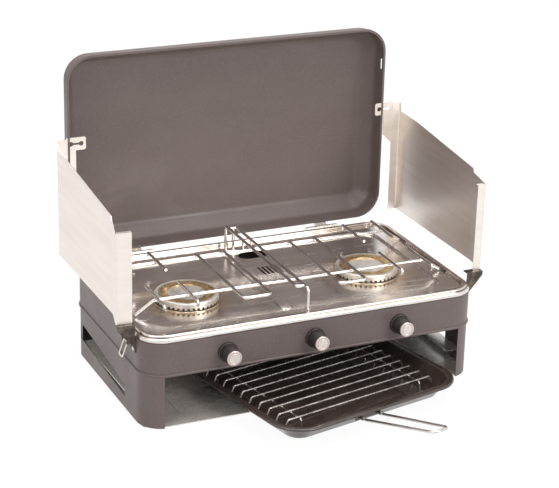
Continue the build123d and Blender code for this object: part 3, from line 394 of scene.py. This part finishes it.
# %% Helpers for sheet metal
MM = 0.001
casing_middle = Vector((-1.944, 94.821, 0)) * MM


def rounded_face(width, depth, corner, steps=8):
    """One flat face about the origin, with its four corners rounded."""
    mesh = bmesh.new()
    bmesh.ops.create_grid(mesh, x_segments=1, y_segments=1, size=0.5)
    bmesh.ops.scale(mesh, vec=(width, depth, 1), verts=mesh.verts)
    bmesh.ops.bevel(mesh, geom=mesh.verts[:], offset=corner, segments=steps, profile=0.5, affect="VERTICES",
                    material=-1)
    return mesh


def round_edges(mesh, edges, size, steps=4):
    bmesh.ops.bevel(mesh, geom=edges, offset=size, segments=steps, profile=0.5, affect="EDGES", material=-1)


def inset(mesh, faces, distance):
    bmesh.ops.inset_region(mesh, faces=faces, thickness=distance, depth=0, use_boundary=True,
                           use_even_offset=True)


def drawn_edge(mesh, edges, step):
    """Extrudes these edges by a step and gives back the new edges."""
    new = bmesh.ops.extrude_edge_only(mesh, edges=edges)["geom"]
    bmesh.ops.translate(mesh, vec=step, verts=[v for v in new if isinstance(v, bmesh.types.BMVert)])
    return [e for e in new if isinstance(e, bmesh.types.BMEdge)]

# %% [markdown]
# A finished piece gets smooth shading with sharp edges only where the sheet turns by more than 35 degrees.
# It then takes its material, rides on the body that it moves with, and hides the CAD part that it stands
# for.

# %% Helpers that finish a piece
def thickened(mesh, thickness):
    """Adds a second wall at this distance behind the faces."""
    bmesh.ops.solidify(mesh, geom=mesh.faces[:], thickness=thickness)


def finished(mesh, name, finish, body, *nodes):
    """Turns a bmesh into a piece that rides on a body and may stand for CAD nodes."""
    data = bpy.data.meshes.new(name)
    bmesh.ops.remove_doubles(mesh, verts=mesh.verts[:], dist=1e-7)
    mesh.to_mesh(data)
    mesh.free()
    data.shade_smooth()
    data.set_sharp_from_angle(angle=radians(35))
    data.materials.append(finishes[finish].material)
    piece = bpy.data.objects.new(name, data)
    bpy.context.scene.collection.objects.link(piece)
    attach(piece, body)
    if nodes:
        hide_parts(*nodes)
    print(name, len(data.polygons), "faces")
    return piece

# %% [markdown]
# ## The lid
#
# The lid is deep drawn: one flat blank is pressed into a tray with straight walls, a sloping shoulder and a
# flat back, and its edge is rolled outwards. It starts as one rounded face. An inset and a push back make
# the shoulder, and an extruded edge makes the wall. Two wide bevels give the soft bends of the press tool.

# %% Lid pressing
low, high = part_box("lid_shell")
gauge, wall, shoulder, hem, hem_back = 1.2 * MM, 24 * MM, 20 * MM, 2 * MM, 4 * MM
lid_corner, press_bend, flat = 36 * MM, 5 * MM, 1e-6
lid_width = high.x - low.x - 2 * hem
lid_height = high.z - low.z - 2 * hem
lid = rounded_face(lid_width, lid_height, lid_corner, 10)
back = lid.faces[:]
inset(lid, back, shoulder)
bmesh.ops.translate(lid, vec=(0, 0, -shoulder), verts=back[0].verts)
rim = drawn_edge(lid, [e for e in lid.edges if e.is_boundary], (0, 0, wall - gauge))
bends = [e for e in lid.edges if not e.is_boundary and abs(e.verts[0].co.z - e.verts[1].co.z) < flat]
round_edges(lid, bends, press_bend, 5)
rim = drawn_edge(lid, [e for e in lid.edges if e.is_boundary], (0, 0, 0))
lip = 2 * hem - 2 * gauge
grow = ((lid_width + lip) / lid_width, (lid_height + lip) / lid_height, 1)
bmesh.ops.scale(lid, vec=grow, verts=list({v for e in rim for v in e.verts}))
drawn_edge(lid, rim, (0, 0, -hem_back))
bmesh.ops.rotate(lid, matrix=Matrix.Rotation(pi / 2, 3, "X"), verts=lid.verts)
middle = (low + high) / 2
bmesh.ops.translate(lid, vec=(middle.x, low.y + wall, middle.z), verts=lid.verts)
print("lid", round(lid_width * 1000), "by", round(lid_height * 1000), "mm")

# %% [markdown]
# Each side wall of the lid has a slot that takes the catch when the lid is shut. A boolean could cut it,
# but two pairs of flat cuts through the side walls are cleaner: they outline the slot, and the faces inside
# it are taken out before the sheet gets its thickness, so the slot gets proper edges.

# %% Slots for the catches
slot_low = Vector((0, 165.4, 370.8)) * MM + casing_middle
slot_high = Vector((0, 170.8, 386.8)) * MM + casing_middle
upright_wall, side_wall_reach = 0.99, 0.2
for facing in ((0, 1, 0), (0, 0, 1)):
    for spot in (slot_low, slot_high):
        walls = [f for f in lid.faces
                 if abs(f.normal.x) > upright_wall and abs(f.calc_center_median().x) > side_wall_reach]
        near = walls + list({e for f in walls for e in f.edges}) + list({v for f in walls for v in f.verts})
        bmesh.ops.bisect_plane(lid, geom=near, plane_co=spot, plane_no=facing)
        lid.normal_update()
inside = []
for f in lid.faces:
    spot = f.calc_center_median()
    within = slot_low.y < spot.y < slot_high.y and slot_low.z < spot.z < slot_high.z
    if within and abs(spot.x) > side_wall_reach:
        inside.append(f)
bmesh.ops.delete(lid, geom=inside, context="FACES")
bmesh.ops.reverse_faces(lid, faces=lid.faces)
thickened(lid, gauge)
print(len(inside), "faces taken out for the slots")
finished(lid, "lid_pressing", "painted_sheet", "lid", "lid_shell")

# %% [markdown]
# ## The windshields
#
# Each windshield is one piece of aluminium sheet. From above it is a line: a flange at the lid, a long
# straight side, a short flare and a front flange. The line is drawn first, its corners are rounded as a
# bending brake leaves them, and it is extruded upwards. The top edge then falls from the lid to the front.

# %% Windshields
shield_gauge, foot_level, bend = 0.8 * MM, 146 * MM, 3 * MM
blank_height, ledge_width, tongue_length = 200 * MM, 6 * MM, 24 * MM
front_y, rear_y, flange_width, tongue_width, margin = -108, 161.5, 14, 9, 0.1
top_line = [(-113, 274), (-68, 278), (-66, 284), (104, 302), (154.5, 304), (157.5, 317), (166, 317)]


def top_at(y):
    """Height of the top edge at a place from front to back, both in millimetres."""
    for (y0, z0), (y1, z1) in zip(top_line, top_line[1:]):
        if y <= y1:
            return z0 + (z1 - z0) * (y - y0) / (y1 - y0)
    return top_line[-1][1]


print("top edge at the front and at the back:", top_at(front_y), top_at(rear_y), "mm")

# %% [markdown]
# The left and the right windshield are alike but not mirror images: the right one stands further out at the
# lid. So one function takes the side and the three places in X that differ, and bends either sheet.

# %% Bend one windshield
def windshield(name, side, crease, corner, inner):
    tongue = inner + 1.2
    along_side = [(crease, y) for y in (rear_y, 157.5, 154.5, 104, -66, -68, -70)]
    across_front = [(x, front_y) for x in (corner, tongue + tongue_width, tongue, inner)]
    plan = [(crease - flange_width, rear_y)] + along_side + across_front
    sheet = bmesh.new()
    points = [sheet.verts.new(Vector((side * x, y, 0)) * MM) for x, y in plan]
    for first, second in zip(points, points[1:]):
        sheet.edges.new((first, second))
    folds = [points[1], points[len(along_side) + 1]]
    bmesh.ops.bevel(sheet, geom=folds, offset=bend, segments=4, profile=0.5, affect="VERTICES", material=-1)
    base_line = sheet.edges[:]
    upper = drawn_edge(sheet, base_line, (0, 0, blank_height))
    for vert in {v for e in upper for v in e.verts}:
        vert.co.z = top_at(vert.co.y / MM) * MM - foot_level
    front = (front_y + margin) * MM
    ledge = [e for e in upper if all(v.co.y < front for v in e.verts)]
    drawn_edge(sheet, ledge, (0, ledge_width, 0))
    low_x, high_x = sorted((side * (tongue - margin) * MM, side * (tongue + tongue_width + margin) * MM))
    foot = [e for e in base_line if all(v.co.y < front and low_x < v.co.x < high_x for v in e.verts)]
    drawn_edge(sheet, foot, (0, 0, -tongue_length))
    bmesh.ops.translate(sheet, vec=casing_middle + Vector((0, 0, foot_level)), verts=sheet.verts)
    bmesh.ops.recalc_face_normals(sheet, faces=sheet.faces)
    thickened(sheet, shield_gauge)
    node = f"windshield_{name}"
    finished(sheet, f"folded_{node}", "aluminium_sheet", f"{node}_body", node)

# %% Both windshields
windshield("left", -1, 266.5, 276, 253)
windshield("right", 1, 280, 276, 263)

# %% [markdown]
# ## The grill pan
#
# The grill pan is pressed from sheet and then enamelled, and glass flows into every bend, so all of its
# edges are round. A rounded face gets two insets: the first leaves the lip and the second the sloping wall.
# The inner face drops to the floor of the pan, and the outer edge is folded down.

# %% Sizes of the grill pan
pan_rim_level, pan_depth, pan_lip, draft, pan_gauge = 32.7 * MM, 25.6 * MM, 10.4 * MM, 16 * MM, 1.4 * MM
pan_width, pan_length, pan_corner = 304 * MM, 270 * MM, 46 * MM
floor_bend, inner_bend, outer_bend, fold_down = 4.5 * MM, 1.6 * MM, 1.4 * MM, 3.0 * MM


def top_edges(turn):
    """Edges at the level of the lip whose two faces differ by more than this in their normals' Z."""
    pan.normal_update()
    found = []
    for edge in pan.edges:
        if len(edge.link_faces) == 2 and abs(sum(v.co.z for v in edge.verts)) < flat:
            first, second = edge.link_faces
            if abs(first.normal.z - second.normal.z) > turn:
                found.append(edge)
    return found


print("pan", round(pan_width * 1000), "by", round(pan_length * 1000), "mm")

# %% Press the grill pan
pan = rounded_face(pan_width, pan_length, pan_corner, 12)
floor_face = pan.faces[:]
inset(pan, floor_face, pan_lip)
inset(pan, floor_face, draft)
bmesh.ops.translate(pan, vec=(0, 0, -pan_depth), verts=floor_face[0].verts)
floor_edges = list(floor_face[0].edges)
round_edges(pan, floor_edges, floor_bend, 4)
round_edges(pan, top_edges(0.3), inner_bend, 3)
drawn_edge(pan, [e for e in pan.edges if e.is_boundary], (0, 0, -fold_down))
round_edges(pan, top_edges(0.9), outer_bend, 3)
pan_turn = Matrix.Rotation(radians(12), 4, "Z")
pan_place = Matrix.Translation(casing_middle + Vector((51, -250, 0)) * MM) @ pan_turn
bmesh.ops.translate(pan, vec=(0, pan_length / 2, pan_rim_level), verts=pan.verts)
bmesh.ops.transform(pan, matrix=pan_place, verts=pan.verts)
thickened(pan, pan_gauge)
finished(pan, "enamelled_grill_pan", "black_enamel", "grill_pan_body", "grill_pan")

# %% [markdown]
# ## Welds
#
# Where two wires cross they are spot welded, and a small flat bead of metal stays in the corner. There are
# dozens of them, so each is a sphere of few faces, pressed flat. They are what makes a bundle of rods look
# like one welded grid.

# %% Weld beads on the support and on the rack
def weld_beads(name, places, size, finish, body, place=Matrix.Identity(4)):
    beads = bmesh.new()
    for spot in places:
        local = place @ Matrix.Translation(spot) @ Matrix.Diagonal((1, 1, 0.5, 1))
        bmesh.ops.create_icosphere(beads, subdivisions=2, radius=size, matrix=local)
    finished(beads, name, finish, body)


support_middle = Vector((0.5, 0, 155.05)) * MM + casing_middle
bars, fingers, support_bead = (-62, 62), (52, 93, 155, 203), 3.1 * MM
places = []
for bar in bars:
    for reach in fingers:
        for direction in (-1, 1):
            places.append(support_middle + Vector((direction * reach, bar, 0)) * MM)
weld_beads("support_welds", places, support_bead, "chromed_wire", "pan_support_body")

cross_wire, first_rod, rod_pitch, rod_count, weld_level, rack_bead = 103, 48, 20.8, 10, 25.95, 2.3 * MM
places = [Vector((direction * cross_wire, first_rod + rod_pitch * i, weld_level)) * MM
          for i in range(rod_count) for direction in (-1, 1)]
weld_beads("rack_welds", places, rack_bead, "browned_rack_wire", "grill_rack_body", pan_place)

# %% [markdown]
# ## Camera
#
# The camera looks at the stove from its left and from above, as a buyer at a shop counter does. A long lens
# from far away keeps the upright lines nearly parallel. Three angles and a place are enough: the view is
# turned left (yaw), down (pitch) and very slightly about its own axis (roll).

# %% Camera
place = Vector((-1.01988, -2.11258, 1.13175))
yaw, pitch_down, roll = radians(-24.93), radians(21.31), radians(1.48)
upright = Vector((0, 0, 1))
level = Vector((-sin(yaw), cos(yaw), 0))
side = Vector((cos(yaw), sin(yaw), 0))
ahead = cos(pitch_down) * level - sin(pitch_down) * upright
above = cos(pitch_down) * upright + sin(pitch_down) * level
right = cos(roll) * side + sin(roll) * above
up = cos(roll) * above - sin(roll) * side
lens = bpy.data.cameras.new("camera")
lens.lens = 118.87
camera = bpy.data.objects.new("camera", lens)
camera.matrix_world = Matrix.Translation(place) @ Matrix((right, up, -ahead)).transposed().to_4x4()
lens.clip_end = 20
bpy.context.scene.collection.objects.link(camera)
bpy.context.scene.camera = camera
print("camera", [round(v, 2) for v in place], "lens", lens.lens, "mm")

# %% [markdown]
# ## Floor and light
#
# Studio pictures like this one are taken on a white table with large soft lamps. The floor here is pale,
# and the camera and the reflections see it partly lit from within, so that it comes out white but still
# takes the stove's shadow. The lamps stay at a plain level, so that the colours render about as they are
# written.

# %% White floor that keeps the shadow
floor_reach = 6
stage = bmesh.new()
bmesh.ops.create_grid(stage, x_segments=1, y_segments=1, size=floor_reach)
ground = bpy.data.meshes.new("floor")
stage.to_mesh(ground)
stage.free()
floor = bpy.data.objects.new("floor", ground)
bpy.context.scene.collection.objects.link(floor)
print("floor is", 2 * floor_reach, "m wide")

# %% [markdown]
# The Light Path node tells which kind of ray meets a surface. Rays from the camera, from mirrors and
# through glass get mostly a plain white glow. All other rays get a matt white floor, which takes light and
# shadow.

# %% What the camera and the mirrors see
def seen(tree, ray, share):
    """A factor that is share for camera, glossy and transmission rays, and 0 for all others."""
    total = ray.outputs["Is Camera Ray"]
    for name in ("Is Glossy Ray", "Is Transmission Ray"):
        add = tree.nodes.new("ShaderNodeMath")
        add.operation = "MAXIMUM"
        tree.links.new(total, add.inputs[0])
        tree.links.new(ray.outputs[name], add.inputs[1])
        total = add.outputs[0]
    scaled = tree.nodes.new("ShaderNodeMath")
    scaled.operation = "MULTIPLY"
    scaled.inputs[1].default_value = share
    tree.links.new(total, scaled.inputs[0])
    return scaled.outputs[0]


print("one factor for the floor and for the world")

# %% Floor material
white = bpy.data.materials.new("white_table")
white.use_nodes = True
tree = white.node_tree
matt = tree.nodes["Principled BSDF"]
matt.inputs["Base Color"].default_value = (0.82, 0.82, 0.82, 1)
matt.inputs["Roughness"].default_value = 0.9
glow = tree.nodes.new("ShaderNodeEmission")
glow.inputs["Color"].default_value = (1, 1, 1, 1)
glow.inputs["Strength"].default_value = 1.1
ray = tree.nodes.new("ShaderNodeLightPath")
glow_share = 0.85
mixed = tree.nodes.new("ShaderNodeMixShader")
tree.links.new(seen(tree, ray, glow_share), mixed.inputs["Fac"])
tree.links.new(matt.outputs["BSDF"], mixed.inputs[1])
tree.links.new(glow.outputs["Emission"], mixed.inputs[2])
tree.links.new(mixed.outputs["Shader"], tree.nodes["Material Output"].inputs["Surface"])
ground.materials.append(white)
print("the floor is", round(glow_share * 100), "% glow to the camera")

# %% [markdown]
# The world has two levels. What lights the stove is low, so that its shadow stays on the floor. What the
# camera and the mirror-bright metal see is plain white. Three soft lamps do the rest: one at the left, a
# stronger one at the front right, and one above.

# %% World
world = bpy.data.worlds.new("studio")
bpy.context.scene.world = world
world.use_nodes = True
sky = world.node_tree
room = sky.nodes["Background"]
room.inputs["Color"].default_value = (1, 0.99, 0.98, 1)
room.inputs["Strength"].default_value = 0.3
backdrop = sky.nodes.new("ShaderNodeBackground")
backdrop.inputs["Color"].default_value = (1, 1, 1, 1)
backdrop.inputs["Strength"].default_value = 1.0
look = sky.nodes.new("ShaderNodeLightPath")
choose = sky.nodes.new("ShaderNodeMixShader")
sky.links.new(seen(sky, look, 1.0), choose.inputs["Fac"])
sky.links.new(room.outputs["Background"], choose.inputs[1])
sky.links.new(backdrop.outputs["Background"], choose.inputs[2])
sky.links.new(choose.outputs["Shader"], sky.nodes["World Output"].inputs["Surface"])
print("the stove gets", round(room.inputs["Strength"].default_value, 2), "of the white that the camera sees")

# %% Three soft lamps
def lamp(name, spot, target, size, power, tint=(1, 1, 1)):
    data = bpy.data.lights.new(name, "AREA")
    data.shape = "RECTANGLE"
    data.size, data.size_y = size
    data.energy = power
    data.color = tint
    item = bpy.data.objects.new(name, data)
    aim = (Vector(target) - Vector(spot)).to_track_quat("-Z", "Y")
    item.matrix_world = Matrix.Translation(spot) @ aim.to_matrix().to_4x4()
    bpy.context.scene.collection.objects.link(item)
    print(name, "lamp,", power, "W")


lamp("left", (-2.2, -1.0, 1.7), (0, 0.05, 0.15), (1.6, 1.4), 20, (1, 0.96, 0.92))
lamp("front", (1.2, -2.4, 1.3), (0, 0, 0.15), (1.4, 1.0), 36, (1, 0.98, 0.96))
lamp("top", (0.2, 0.1, 2.2), (0, 0.1, 0), (1.8, 1.4), 30)

# %% [markdown]
# ## View transform
#
# The scene renders with the Standard view transform, so that the colours come out about as they are written.

# %% View transform
bpy.context.scene.view_settings.view_transform = "Standard"
